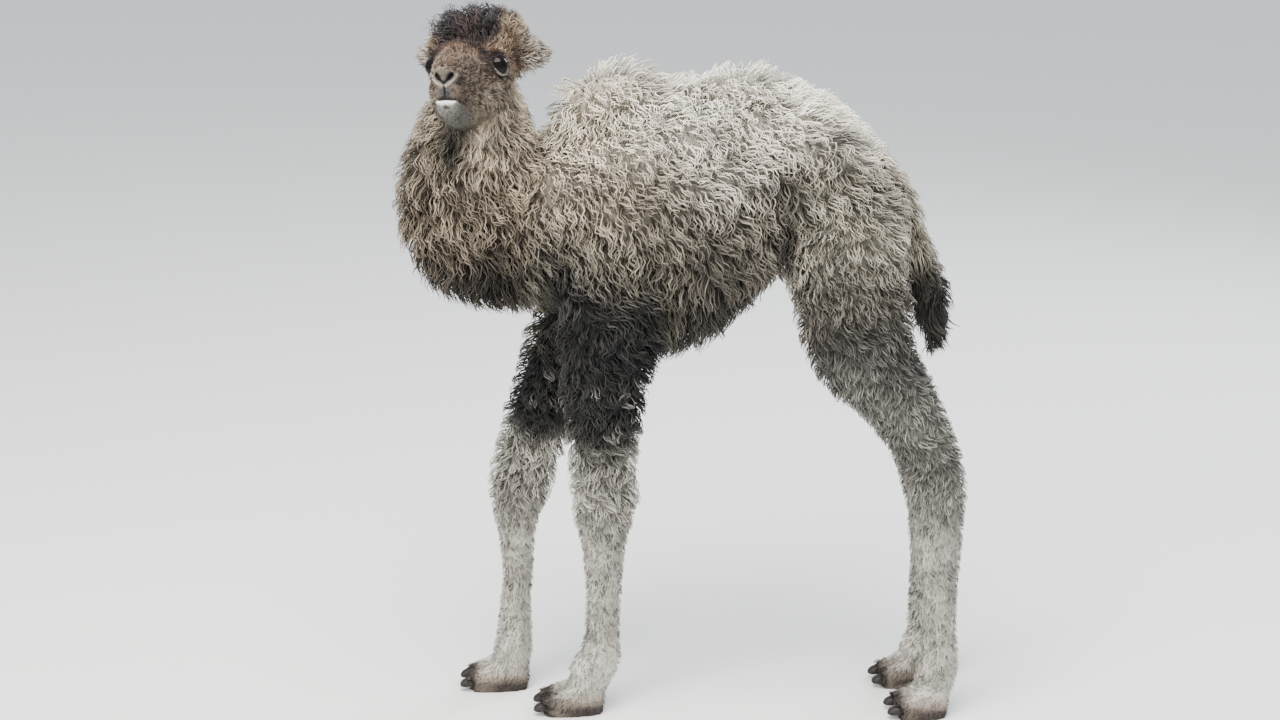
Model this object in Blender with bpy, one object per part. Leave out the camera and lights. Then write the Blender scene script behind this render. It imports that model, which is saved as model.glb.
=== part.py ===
"""A young Bactrian camel standing still, life size, as a museum shows it.

The solids are the camel's outer form, out to the tips of its woolly coat. The flesh is lofted from rings
along the trunk, neck, head, tail and legs, melted into one skin, thinned, and then parted with thin cuts
where a person would name its parts. Eyes and toenails are solids of their own.

Frame: metres, +Z up, the ground at Z = 0. The camel faces -X, so its left side is at -Y.
"""
import math

import bmesh
import bpy
from mathutils import Matrix, Vector

# Clearance between two solids that touch, and how finely the flesh and the head are melted.
GAP = 0.0003
SOCKET_GAP = 0.0006
BLOCK = 4.0
VOXEL = 0.008
MELT_PASSES = 6
FLESH_TRIANGLES = 3150
HEAD_VOXEL = 0.004
HEAD_PASSES = 8
HEAD_TRIANGLES = 1400
SHARP_ANGLE = math.radians(50)
SIDES = {"left": 1, "right": -1}
SIDEWAYS = Vector((0, 1, 0))
BACKWARD = Vector((1, 0, 0))

# Rings of the trunk from breast to dock: x, height of the middle, half height, half width.
TRUNK = {
    "breast": (-0.165, 0.868, 0.103, 0.090),
    "shoulder": (-0.090, 0.880, 0.184, 0.132),
    "girth": (0.010, 0.883, 0.226, 0.152),
    "midriff": (0.110, 0.896, 0.221, 0.157),
    "loin": (0.200, 0.938, 0.178, 0.149),
    "hip": (0.295, 0.967, 0.121, 0.142),
    "croup": (0.370, 0.926, 0.105, 0.112),
    "dock": (0.412, 0.912, 0.055, 0.055),
}

# Humps: x and height of the middle, then half length, half width and half height.
HUMPS = {
    "hump_front": (-0.040, 1.040, 0.122, 0.074, 0.106),
    "hump_rear": (0.170, 1.040, 0.112, 0.072, 0.106),
}
HUMP_SEAM = 1.040
SADDLE = 0.065
REAR_END = 0.290

# Rings of the neck from its root to the poll: x, y, z of the middle, half depth, half width.
NECK = {
    "root": (-0.090, 0.000, 0.885, 0.165, 0.120),
    "base": (-0.190, 0.000, 0.870, 0.136, 0.118),
    "bend": (-0.258, -0.003, 0.878, 0.144, 0.112),
    "throat_bend": (-0.286, -0.010, 0.940, 0.122, 0.104),
    "mid": (-0.277, -0.020, 1.005, 0.100, 0.092),
    "upper": (-0.267, -0.030, 1.058, 0.086, 0.080),
    "poll": (-0.265, -0.036, 1.095, 0.068, 0.066),
}

# Head frame: the point between the eyes, and how the face is turned from a level -X, raised and tilted.
EYE_MIDDLE = Vector((-0.2810, -0.125, 1.1375))
FACE_TURN = math.radians(76)
FACE_LIFT = math.radians(22)
FACE_TILT = math.radians(3.5)

# Rings of the skull from poll to nose: distance ahead of the eyes, height, half height, half width.
SKULL = {
    "poll": (-0.100, 0.000, 0.050, 0.045),
    "crown": (-0.070, 0.004, 0.062, 0.061),
    "temple": (-0.035, 0.000, 0.064, 0.066),
    "eyes": (0.000, -0.004, 0.060, 0.060),
    "bridge": (0.040, -0.018, 0.047, 0.047),
    "muzzle": (0.080, -0.034, 0.040, 0.035),
    "nostrils": (0.112, -0.046, 0.037, 0.029),
    "lips": (0.132, -0.054, 0.030, 0.025),
}
# Rings of the lower jaw from its angle to the chin, in the same way.
JAW = {
    "angle": (-0.062, -0.045, 0.048, 0.050),
    "jowl": (-0.020, -0.064, 0.042, 0.042),
    "middle": (0.030, -0.075, 0.030, 0.027),
    "chin": (0.085, -0.088, 0.025, 0.022),
    "lip": (0.120, -0.090, 0.020, 0.021),
}
BROW = (Vector((0.004, 0.044, 0.026)), (0.034, 0.020, 0.013))
CHEEK = (Vector((-0.012, 0.036, -0.042)), (0.056, 0.026, 0.036))
NOSTRIL = (Vector((0.118, 0.013, -0.036)), (0.022, 0.012, 0.013))
MOUTH = Vector((0.140, 0.000, -0.079))
MOUTH_SLOPE = -0.05
JAW_ROOT = Vector((-0.035, 0.000, -0.095))
JAW_FACING = Vector((1.000, 0.000, 0.300))

# The topknot of wool: its middle and its halves in head coordinates.
TOPKNOT = Vector((-0.036, 0.007, 0.056))
TOPKNOT_HALF = (0.074, 0.072, 0.045)
NAPE_CUT = Vector((-0.105, 0.000, 0.050))
NAPE_FACING = Vector((0.830, 0.000, 0.560))
EYE_PLACE = Vector((0.008, 0.0465, -0.001))
EYE_RADIUS = 0.0185

# An ear runs from its root to its tip, in head coordinates; its rings: how far along, thickness, width.
EAR_ROOT = Vector((-0.062, 0.050, 0.028))
EAR_TIP = Vector((-0.104, 0.100, 0.042))
EAR_RINGS = ((0.0, 1.0, 0.7), (0.35, 1.0, 1.0), (0.7, 0.9, 1.0), (0.95, 0.6, 0.7))
EAR_ACROSS = Vector((0.25, 0.0, 1.0))
EAR_HALF_WIDTH = 0.032
EAR_HALF_THICKNESS = 0.014
EAR_SEAM = 0.35

# Rings of the tail: x, y, z, half depth, half width.
TAIL = {
    "dock": (0.385, 0.000, 0.935, 0.036, 0.036),
    "root": (0.425, 0.000, 0.895, 0.034, 0.034),
    "dock_end": (0.455, 0.000, 0.828, 0.030, 0.031),
    "tuft_top": (0.478, 0.000, 0.762, 0.032, 0.030),
    "tuft": (0.490, 0.000, 0.705, 0.026, 0.026),
    "tip": (0.493, 0.000, 0.655, 0.010, 0.010),
}

# Rings of the legs from top to ankle: x, y, z, half depth, half width.
LEFT_FORELEG = {
    "shoulder": (-0.060, -0.085, 0.835, 0.085, 0.050),
    "elbow": (-0.055, -0.088, 0.725, 0.094, 0.058),
    "arm": (-0.064, -0.082, 0.625, 0.078, 0.056),
    "forearm": (-0.064, -0.074, 0.525, 0.066, 0.050),
    "above_knee": (-0.062, -0.066, 0.455, 0.059, 0.045),
    "knee": (-0.060, -0.060, 0.395, 0.058, 0.045),
    "below_knee": (-0.060, -0.054, 0.330, 0.042, 0.036),
    "cannon": (-0.058, -0.046, 0.237, 0.034, 0.029),
    "low_cannon": (-0.059, -0.042, 0.168, 0.034, 0.029),
    "fetlock": (-0.064, -0.041, 0.114, 0.040, 0.034),
    "pastern": (-0.084, -0.041, 0.078, 0.042, 0.036),
}
RIGHT_FORELEG = {
    "shoulder": (-0.080, 0.080, 0.815, 0.080, 0.050),
    "elbow": (-0.095, 0.085, 0.715, 0.086, 0.056),
    "arm": (-0.125, 0.080, 0.625, 0.076, 0.055),
    "forearm": (-0.160, 0.074, 0.525, 0.067, 0.050),
    "above_knee": (-0.188, 0.071, 0.450, 0.061, 0.045),
    "knee": (-0.201, 0.069, 0.385, 0.057, 0.045),
    "below_knee": (-0.205, 0.067, 0.325, 0.040, 0.036),
    "cannon": (-0.203, 0.065, 0.237, 0.030, 0.029),
    "low_cannon": (-0.207, 0.064, 0.168, 0.031, 0.029),
    "fetlock": (-0.210, 0.063, 0.114, 0.036, 0.033),
    "pastern": (-0.212, 0.063, 0.078, 0.038, 0.035),
}
LEFT_HINDLEG = {
    "hip": (0.325, -0.080, 0.915, 0.105, 0.060),
    "thigh": (0.328, -0.096, 0.825, 0.103, 0.068),
    "low_thigh": (0.340, -0.098, 0.740, 0.100, 0.066),
    "stifle": (0.362, -0.096, 0.670, 0.090, 0.060),
    "shank": (0.410, -0.092, 0.610, 0.070, 0.052),
    "low_shank": (0.458, -0.086, 0.535, 0.060, 0.046),
    "above_hock": (0.487, -0.081, 0.475, 0.056, 0.043),
    "hock": (0.502, -0.078, 0.415, 0.051, 0.041),
    "below_hock": (0.509, -0.076, 0.345, 0.041, 0.036),
    "cannon": (0.515, -0.074, 0.245, 0.034, 0.030),
    "low_cannon": (0.518, -0.073, 0.168, 0.034, 0.030),
    "fetlock": (0.522, -0.073, 0.114, 0.037, 0.034),
    "pastern": (0.514, -0.073, 0.078, 0.038, 0.035),
}
RIGHT_HINDLEG = {
    "hip": (0.335, 0.080, 0.915, 0.100, 0.060),
    "thigh": (0.343, 0.092, 0.825, 0.098, 0.066),
    "low_thigh": (0.355, 0.092, 0.740, 0.095, 0.064),
    "stifle": (0.378, 0.088, 0.670, 0.086, 0.058),
    "shank": (0.425, 0.082, 0.610, 0.067, 0.051),
    "low_shank": (0.470, 0.074, 0.535, 0.058, 0.045),
    "above_hock": (0.495, 0.068, 0.475, 0.054, 0.042),
    "hock": (0.508, 0.063, 0.415, 0.049, 0.040),
    "below_hock": (0.515, 0.060, 0.345, 0.039, 0.035),
    "cannon": (0.517, 0.058, 0.245, 0.031, 0.029),
    "low_cannon": (0.517, 0.057, 0.168, 0.031, 0.029),
    "fetlock": (0.522, 0.056, 0.114, 0.035, 0.033),
    "pastern": (0.509, 0.056, 0.078, 0.037, 0.035),
}
LEGS = {
    "left_foreleg": LEFT_FORELEG,
    "right_foreleg": RIGHT_FORELEG,
    "left_hindleg": LEFT_HINDLEG,
    "right_hindleg": RIGHT_HINDLEG,
}

LEG_JOINTS = {
    "left_foreleg": ("knee", "fetlock"),
    "right_foreleg": ("knee", "fetlock"),
    "left_hindleg": ("hock", "fetlock"),
    "right_hindleg": ("hock", "fetlock"),
}

# The level of the rings' ground, which the finished model puts at Z = 0.
GROUND = 0.017

# Foot: two toes side by side, each with a nail. A toe's rings: how far ahead of the ankle and aside,
# then height of the middle, half height and half width as shares of the toe's own. Hind feet are shorter.
TOE_RINGS = (
    (-0.022, 0.012, 0.95, 1.00, 1.00),
    (0.012, 0.016, 0.95, 1.15, 1.00),
    (0.046, 0.019, 0.85, 0.95, 0.95),
    (0.080, 0.020, 0.66, 0.68, 0.80),
)
FOOT_REACH = {"left_foreleg": 1.0, "right_foreleg": 1.0, "left_hindleg": 0.86, "right_hindleg": 0.86}
TOE_HALF_WIDTH = 0.021
TOE_HALF_HEIGHT = 0.027
NAIL_HALF = Vector((0.015, 0.0115, 0.0125))
NAIL_AHEAD = 0.079
NAIL_SPREAD = 0.020
NAIL_LIFT = 0.003

# Thin cuts, in order: each piece is what lies beyond all its planes (point, facing).
NECK_BEHIND = ((-0.120, 0.000, 1.000), (-1.000, 0.000, 0.000))
TAIL_HALF_BAND = 0.034
TAIL_BAND = [
    ((0, -TAIL_HALF_BAND, 0), (0, 1, 0)),
    ((0, TAIL_HALF_BAND, 0), (0, -1, 0)),
    ((0, 0, 0.648), (0, 0, 1)),
]
FORELEG_TOP = [((0, 0, 0.648), (0, 0, -1)), ((0.2, 0, 0), (-1, 0, 0))]
HINDLEG_TOP = [((0.25, 0, 0.742), (0.2, 0, -1)), ((0.225, 0, 0), (1, 0, 0))]
LEFT_HALF = ((0, 0, 0), (0, -1, 0))
RIGHT_HALF = ((0, 0, 0), (0, 1, 0))
CUTS = {
    "tail_tuft": [((0.470, 0, 0.785), (0.3, 0, -1)), ((0.435, 0, 0.785), (1, 0, 0)), *TAIL_BAND],
    "tail": [((0.416, 0, 0.890), (1, 0, 0.12)), *TAIL_BAND],
    "left_foreleg": [*FORELEG_TOP, LEFT_HALF],
    "right_foreleg": [*FORELEG_TOP, RIGHT_HALF],
    "left_hindleg": [*HINDLEG_TOP, LEFT_HALF],
    "right_hindleg": [*HINDLEG_TOP, RIGHT_HALF],
    "neck_upper": [((-0.270, 0, 0.985), (-0.15, 0, 1)), ((-0.172, 0, 0.985), (-1, 0, 0))],
    "neck_lower": [((-0.178, 0, 0.900), (-1, 0, 0.10))],
    "hump_front": [((0, 0, HUMP_SEAM), (0, 0, 1)), ((SADDLE, 0, 0), (-1, 0, 0))],
    "hump_rear": [((0, 0, HUMP_SEAM), (0, 0, 1)), ((REAR_END, 0, 0), (-1, 0, 0))],
}
BODY_FINISHES = {
    "tail_tuft": "dark_wool",
    "tail": "wool",
    "neck_upper": "brown_wool",
    "neck_lower": "brown_wool",
    "hump_front": "wool",
    "hump_rear": "wool",
    "trunk": "wool",
}
LEG_FINISHES = {
    "left_foreleg": ("dark_wool", "pale_wool", "pale_wool"),
    "right_foreleg": ("dark_wool", "pale_wool", "pale_wool"),
    "left_hindleg": ("wool", "pale_wool", "pale_wool"),
    "right_hindleg": ("wool", "pale_wool", "pale_wool"),
}
COLOURS = {
    "wool": (0.42, 0.36, 0.30, 1),
    "brown_wool": (0.22, 0.17, 0.13, 1),
    "dark_wool": (0.08, 0.07, 0.065, 1),
    "pale_wool": (0.58, 0.54, 0.48, 1),
    "face": (0.30, 0.24, 0.19, 1),
    "eye": (0.01, 0.008, 0.007, 1),
    "nail": (0.06, 0.05, 0.05, 1),
}
ROUGHNESS = {"eye": 0.05, "nail": 0.5}


def material(name):
    found = bpy.data.materials.get(name)
    if found:
        return found
    made = bpy.data.materials.new(name)
    made.use_nodes = True
    shader = made.node_tree.nodes["Principled BSDF"]
    shader.inputs["Base Color"].default_value = COLOURS[name]
    shader.inputs["Roughness"].default_value = ROUGHNESS.get(name, 0.9)
    made.diffuse_color = COLOURS[name]
    return made


def new_object(name, mesh, finish=None):
    made = bpy.data.objects.new(name, mesh)
    bpy.context.scene.collection.objects.link(made)
    if finish:
        mesh.materials.clear()
        mesh.materials.append(material(finish))
    return made


def smooth_path(rings, steps):
    """The rings with Catmull-Rom rings between them, so that a loft bends smoothly."""
    rows = [tuple(r) for r in rings]
    made = []
    for i in range(len(rows) - 1):
        before = rows[max(i - 1, 0)]
        here, there = rows[i], rows[i + 1]
        after = rows[min(i + 2, len(rows) - 1)]
        for k in range(steps):
            t = k / steps
            made.append([
                0.5 * (2 * b + (c - a) * t + (2 * a - 5 * b + 4 * c - d) * t ** 2
                       + (3 * b - a - 3 * c + d) * t ** 3)
                for a, b, c, d in zip(before, here, there, after)
            ])
    made.append(list(rows[-1]))
    return made


def loft(shape, rings, across=SIDEWAYS, facing=None, sides=20, steps=4, place=Matrix.Identity(4)):
    """Adds to a bmesh the closed loft of rings (x, y, z, half depth, half width), with rounded ends.

    The rings stand square to the path through their middles, or to facing where it is given.
    """
    rows = smooth_path(rings, steps)
    middles = [Vector(r[:3]) for r in rows]
    loops = []
    for i, row in enumerate(rows):
        path = middles[min(i + 1, len(rows) - 1)] - middles[max(i - 1, 0)]
        along = (facing or path).normalized()
        wide = (across - along * across.dot(along)).normalized()
        deep = along.cross(wide)
        half_depth, half_width = row[3], row[4]
        ends = []
        if i == 0:
            ends = [(-0.5, 0.5), (-0.35, 0.8)]
        if i == len(rows) - 1:
            ends = [(0.35, 0.8), (0.5, 0.5)]
        spots = ends + [(0, 1)] if i == 0 else [(0, 1)] + ends
        for shift, size in spots:
            middle = middles[i] + along * shift * min(half_depth, half_width)
            loops.append([
                shape.verts.new(place @ (
                    middle
                    + deep * math.cos(a) * half_depth * size
                    + wide * math.sin(a) * half_width * size))
                for a in (2 * math.pi * s / sides for s in range(sides))
            ])
    for first, second in zip(loops, loops[1:]):
        for s in range(sides):
            n = (s + 1) % sides
            shape.faces.new((first[s], first[n], second[n], second[s]))
    shape.faces.new(list(reversed(loops[0])))
    shape.faces.new(loops[-1])


def ball(shape, middle, halves, place=Matrix.Identity(4), fineness=3):
    """Adds an ellipsoid to a bmesh."""
    size = Matrix.Diagonal((*halves, 1))
    bmesh.ops.create_icosphere(
        shape, subdivisions=fineness, radius=1,
        matrix=place @ Matrix.Translation(middle) @ size)


def mesh_of(name, shape):
    bmesh.ops.recalc_face_normals(shape, faces=shape.faces)
    mesh = bpy.data.meshes.new(name)
    shape.to_mesh(mesh)
    shape.free()
    return mesh


def applied(thing):
    """The object's mesh with its modifiers applied, the object removed."""
    graph = bpy.context.evaluated_depsgraph_get()
    mesh = bpy.data.meshes.new_from_object(thing.evaluated_get(graph))
    bpy.data.objects.remove(thing)
    return mesh


def combined(name, mesh, other, operation):
    """The Boolean of two meshes as a new mesh."""
    thing = new_object(name, mesh)
    tool = new_object(name + "_tool", other)
    cut = thing.modifiers.new("cut", "BOOLEAN")
    cut.operation = operation
    cut.solver = "EXACT"
    cut.object = tool
    made = applied(thing)
    bpy.data.objects.remove(tool)
    return made


def zone(planes, growth=0.0):
    """The convex block that lies beyond every plane (point, facing), each plane first moved out by growth."""
    shape = bmesh.new()
    bmesh.ops.create_cube(shape, size=BLOCK)
    for point, facing in planes:
        normal = Vector(facing).normalized()
        bmesh.ops.bisect_plane(
            shape, geom=[*shape.verts, *shape.edges, *shape.faces],
            plane_co=Vector(point) - normal * growth, plane_no=normal, clear_inner=True)
        bmesh.ops.holes_fill(shape, edges=[e for e in shape.edges if e.is_boundary])
    return mesh_of("zone", shape)


def parted(mesh, planes):
    """Splits a mesh with thin cuts: what lies beyond all the planes, and the rest."""
    taken = combined("taken", mesh.copy(), zone(planes), "INTERSECT")
    rest = combined("rest", mesh, zone(planes, GAP), "DIFFERENCE")
    return taken, rest


def melted(shape, voxel, passes, triangles):
    """The shapes of a bmesh melted into one closed surface, softened and thinned."""
    thing = new_object("melt", mesh_of("melt", shape))
    melt = thing.modifiers.new("melt", "REMESH")
    melt.mode = "VOXEL"
    melt.voxel_size = voxel
    soften = thing.modifiers.new("soften", "SMOOTH")
    soften.factor = 0.5
    soften.iterations = passes
    mesh = applied(thing)
    thing = new_object("melt", mesh)
    thin = thing.modifiers.new("thin", "DECIMATE")
    thin.ratio = triangles / (2 * len(mesh.polygons))
    return applied(thing)


# Head ---------------------------------------------------------------------------------------------
def head_frame():
    """The matrix from head coordinates (ahead, left, up) to the model's."""
    level = Vector((-math.cos(FACE_TURN), -math.sin(FACE_TURN), 0))
    ahead = level * math.cos(FACE_LIFT) + Vector((0, 0, math.sin(FACE_LIFT)))
    left = Vector((0, 0, 1)).cross(level).normalized()
    turn = Matrix((ahead, left, ahead.cross(left))).transposed().to_4x4()
    return Matrix.Translation(EYE_MIDDLE) @ turn @ Matrix.Rotation(FACE_TILT, 4, "X")


def mirrored(spot, side):
    return Vector((spot.x, side * spot.y, spot.z))


def add_head(shape, face):
    """Skull, lower jaw, brows, cheeks and the topknot of wool."""
    loft(shape, [(x, 0, z, tall, wide) for x, z, tall, wide in SKULL.values()], place=face)
    loft(shape, [(x, 0, z, tall, wide) for x, z, tall, wide in JAW.values()], place=face)
    ball(shape, TOPKNOT, TOPKNOT_HALF, place=face)
    for side in (-1, 1):
        for middle, halves in (BROW, CHEEK, NOSTRIL):
            ball(shape, mirrored(middle, side), halves, place=face)


def ear_mesh(face, side):
    """One ear: a flat leaf that stands out from the head, its root inside the skull."""
    shape = bmesh.new()
    root, tip = mirrored(EAR_ROOT, side), mirrored(EAR_TIP, side)
    rings = [
        (*root.lerp(tip, along), EAR_HALF_THICKNESS * thick, EAR_HALF_WIDTH * wide)
        for along, thick, wide in EAR_RINGS
    ]
    loft(shape, rings, across=EAR_ACROSS, sides=10, steps=2, place=face)
    return mesh_of("ear", shape)


def build_head(face, planes):
    """Head, lower jaw, ears and eyes, parted from a finer melt of the head and the neck below it."""
    shape = bmesh.new()
    add_head(shape, face)
    loft(shape, NECK.values())
    fine = melted(shape, HEAD_VOXEL, HEAD_PASSES, HEAD_TRIANGLES)
    for side in (-1, 1):
        fine = combined("eared", fine, ear_mesh(face, side), "UNION")
    head, _ = parted(fine, planes)
    for name, side in SIDES.items():
        out = mirrored(EAR_TIP - EAR_ROOT, side)
        start = mirrored(EAR_ROOT, side) + out * EAR_SEAM
        ear, head = parted(head, [(face @ start, face.to_3x3() @ out)])
        new_object("ear_" + name, ear, "face")
        eye = bmesh.new()
        ball(eye, mirrored(EYE_PLACE, side), [EYE_RADIUS] * 3, place=face)
        new_object("eye_" + name, mesh_of("eye", eye), "eye")
        socket = bmesh.new()
        ball(socket, mirrored(EYE_PLACE, side), [EYE_RADIUS + SOCKET_GAP] * 3, place=face)
        head = combined("head", head, mesh_of("socket", socket), "DIFFERENCE")
    jaw, head = parted(head, [
        (face @ MOUTH, face.to_3x3() @ Vector((MOUTH_SLOPE, 0, -1))),
        (face @ JAW_ROOT, face.to_3x3() @ JAW_FACING),
    ])
    new_object("lower_jaw", jaw, "face")
    new_object("head", head, "face")


# Legs ---------------------------------------------------------------------------------------------
def add_foot(shape, rings, reach):
    """Two toes that spread forward from the pastern over their soft pads."""
    ankle = Vector(list(rings.values())[-1][:3])
    for side in (-1, 1):
        loft(shape, [
            (ankle.x - ahead * reach, ankle.y + side * spread, GROUND + TOE_HALF_HEIGHT * middle,
             TOE_HALF_HEIGHT * tall, TOE_HALF_WIDTH * wide)
            for ahead, spread, middle, tall, wide in TOE_RINGS
        ])


def build_leg(name, mesh, finishes):
    """Parts one leg into upper leg, lower leg and foot with its two nails."""
    rings = LEGS[name]
    knee, ankle = (rings[joint][2] for joint in LEG_JOINTS[name])
    lower, upper = parted(mesh, [((0, 0, knee), (0, 0, -1))])
    foot, lower = parted(lower, [((0, 0, ankle), (0, 0, -1))])
    end = Vector(rings["pastern"][:3])
    for side_name, side in SIDES.items():
        middle = Vector((
            end.x - NAIL_AHEAD * FOOT_REACH[name],
            end.y + side * NAIL_SPREAD,
            GROUND + NAIL_HALF.z + NAIL_LIFT,
        ))
        nail = bmesh.new()
        ball(nail, middle, NAIL_HALF, fineness=2)
        new_object(f"{name}_nail_{side_name}", mesh_of("nail", nail), "nail")
        socket = bmesh.new()
        ball(socket, middle, [half + SOCKET_GAP for half in NAIL_HALF], fineness=2)
        foot = combined("foot", foot, mesh_of("socket", socket), "DIFFERENCE")
    for piece, part, finish in zip(("upper", "lower", "foot"), (upper, lower, foot), finishes):
        new_object(f"{name}_{piece}", part, finish)


# The whole animal ---------------------------------------------------------------------------------
def flesh_mesh(face):
    """The whole flesh melted into one closed surface, cut level under the feet."""
    shape = bmesh.new()
    loft(shape, [(x, 0, z, tall, wide) for x, z, tall, wide in TRUNK.values()], facing=BACKWARD)
    for x, z, long, wide, tall in HUMPS.values():
        ball(shape, (x, 0, z), (long, wide, tall))
    loft(shape, NECK.values())
    add_head(shape, face)
    loft(shape, TAIL.values())
    for name, rings in LEGS.items():
        loft(shape, rings.values())
        add_foot(shape, rings, FOOT_REACH[name])
    body = melted(shape, VOXEL, MELT_PASSES, FLESH_TRIANGLES)
    return combined("grounded", body, zone([((0, 0, GROUND), (0, 0, 1))]), "INTERSECT")


def centred():
    """Moves every mesh so that the middle of the model's footprint box is the origin."""
    spots = [v.co for thing in bpy.data.objects for v in thing.data.vertices]
    middle = Vector([
        (min(s[axis] for s in spots) + max(s[axis] for s in spots)) / 2 for axis in (0, 1)] + [GROUND])
    for thing in bpy.data.objects:
        thing.data.transform(Matrix.Translation(-middle))
        thing.data.shade_smooth()
        thing.data.set_sharp_from_angle(angle=SHARP_ANGLE)


def build():
    for old in list(bpy.data.objects):
        bpy.data.objects.remove(old)
    face = head_frame()
    nape = [(face @ NAPE_CUT, face.to_3x3() @ NAPE_FACING), NECK_BEHIND]
    body = flesh_mesh(face)
    _, body = parted(body, nape)
    build_head(face, nape)
    for name, planes in CUTS.items():
        piece, body = parted(body, planes)
        if name in LEGS:
            build_leg(name, piece, LEG_FINISHES[name])
        else:
            new_object(name, piece, BODY_FINISHES[name])
    new_object("trunk", body, BODY_FINISHES["trunk"])
    centred()


build()
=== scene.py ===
"""A young Bactrian camel in its first woolly coat, standing, life size, as a museum shows it.

One skin stands in for the frame's flesh and lies inside it by the coat's depth. Over the skin lie solid
locks of wool and fur: long wavy locks on neck and trunk, curls on crown and forelegs, short fur on face
and lower legs. Metres, +Z up. The camel faces -X, its left side is at -Y, its head is turned to its left.
"""
import math

import bmesh
import bpy
import numpy as np
from mathutils import Matrix, Vector
from mathutils.bvhtree import BVHTree
from mathutils.kdtree import KDTree


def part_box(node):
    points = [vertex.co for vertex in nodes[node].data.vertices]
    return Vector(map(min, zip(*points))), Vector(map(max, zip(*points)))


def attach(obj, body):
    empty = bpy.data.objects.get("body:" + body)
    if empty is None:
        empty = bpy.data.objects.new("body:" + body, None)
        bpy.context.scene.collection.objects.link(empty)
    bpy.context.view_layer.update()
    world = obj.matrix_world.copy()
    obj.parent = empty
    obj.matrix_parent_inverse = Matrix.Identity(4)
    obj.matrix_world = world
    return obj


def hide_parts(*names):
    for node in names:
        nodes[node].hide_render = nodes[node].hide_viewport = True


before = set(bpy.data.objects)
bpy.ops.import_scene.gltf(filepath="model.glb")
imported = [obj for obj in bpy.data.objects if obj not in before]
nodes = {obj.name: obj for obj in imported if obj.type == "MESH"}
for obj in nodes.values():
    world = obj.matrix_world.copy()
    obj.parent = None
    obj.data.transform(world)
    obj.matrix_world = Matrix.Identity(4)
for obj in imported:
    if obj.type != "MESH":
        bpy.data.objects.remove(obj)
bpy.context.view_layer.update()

# Studio -------------------------------------------------------------------------------------------
# A plain pale floor, a big soft lamp overhead to the camel's left front and weaker ones round it.
# The camera stands as high as a grown person's eyes, a few steps from the camel's left side.
FLOOR_HALF = 30
FLOOR_PALE = (0.78, 0.78, 0.77, 1)
AIR_COLOUR = (0.90, 0.95, 1.0, 1)
AIR_STRENGTH = 1.15
# Each lamp: its place, width, power and colour. All point at the middle of the body.
LAMPS = {
    "lamp_over": ((-0.6, -1.4, 4.2), 3.0, 400, (1.0, 0.97, 0.92)),
    "lamp_front": ((-3.0, -3.0, 2.6), 2.2, 190, (1.0, 0.96, 0.90)),
    "lamp_rear": ((2.8, 2.4, 3.0), 2.0, 140, (0.92, 0.96, 1.0)),
}
LAMPS_AIM = Vector((0, 0, 0.7))
CAMERA_PLACE = Vector((-0.3003, -3.155, 1.518))
CAMERA_DOWN = math.radians(15.6)
CAMERA_TURN = math.radians(-4.0)
CAMERA_ROLL = math.radians(1.0)
CAMERA_LENS = 56.25


def put_in_scene(name, data):
    """A new object in the scene around a mesh, a lamp or a camera."""
    placed = bpy.data.objects.new(name, data)
    bpy.context.scene.collection.objects.link(placed)
    return placed


def mesh_of(name, shape):
    """A mesh made of a finished shape, which is then freed."""
    mesh = bpy.data.meshes.new(name)
    shape.to_mesh(mesh)
    shape.free()
    return mesh


floor_shape = bmesh.new()
bmesh.ops.create_grid(floor_shape, x_segments=1, y_segments=1, size=FLOOR_HALF)
studio_floor = mesh_of("studio_floor", floor_shape)
floor_object = put_in_scene("studio_floor", studio_floor)
floor_paint = bpy.data.materials.new("studio_floor")
floor_paint.use_nodes = True
floor_shader = floor_paint.node_tree.nodes["Principled BSDF"]
floor_shader.inputs["Base Color"].default_value = FLOOR_PALE
floor_shader.inputs["Roughness"].default_value = 0.9
studio_floor.materials.append(floor_paint)

air = bpy.data.worlds.new("studio_air")
air.use_nodes = True
air.node_tree.nodes["Background"].inputs["Color"].default_value = AIR_COLOUR
air.node_tree.nodes["Background"].inputs["Strength"].default_value = AIR_STRENGTH
bpy.context.scene.world = air

for lamp_name, (lamp_place, lamp_size, lamp_power, lamp_colour) in LAMPS.items():
    lamp = bpy.data.lights.new(lamp_name, "AREA")
    lamp.shape = "DISK"
    lamp.size = lamp_size
    lamp.energy = lamp_power
    lamp.color = lamp_colour
    lamp_object = put_in_scene(lamp_name, lamp)
    lamp_object.location = lamp_place
    aim = LAMPS_AIM - Vector(lamp_place)
    lamp_object.rotation_euler = aim.to_track_quat("-Z", "Y").to_euler()

camera_data = bpy.data.cameras.new("camera")
camera_data.lens = CAMERA_LENS
camera_data.sensor_width = 36
camera_data.clip_start = 0.05
camera = put_in_scene("camera", camera_data)
camera.location = CAMERA_PLACE
camera_turn = Matrix.Rotation(CAMERA_TURN, 4, "Z") @ Matrix.Rotation(math.pi / 2 - CAMERA_DOWN, 4, "X")
camera.rotation_euler = (camera_turn @ Matrix.Rotation(CAMERA_ROLL, 4, "Z")).to_euler()
bpy.context.scene.camera = camera

# Skin ---------------------------------------------------------------------------------------------
# The whole hide from nose to tail, one closed surface. It is the frame's flesh and eyes melted
# together, then drawn inwards by the depth of the coat that grows on each stretch.
SKIN_VOXEL = 0.0045
BODY_SHARE = 0.36
HEAD_BACK = -0.075
INSET_STEPS = 6
FIELD_PASSES = 22
skin_nodes = [name for name in nodes if "nail" not in name]
flesh_nodes = [name for name in skin_nodes if "eye" not in name]

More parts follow.
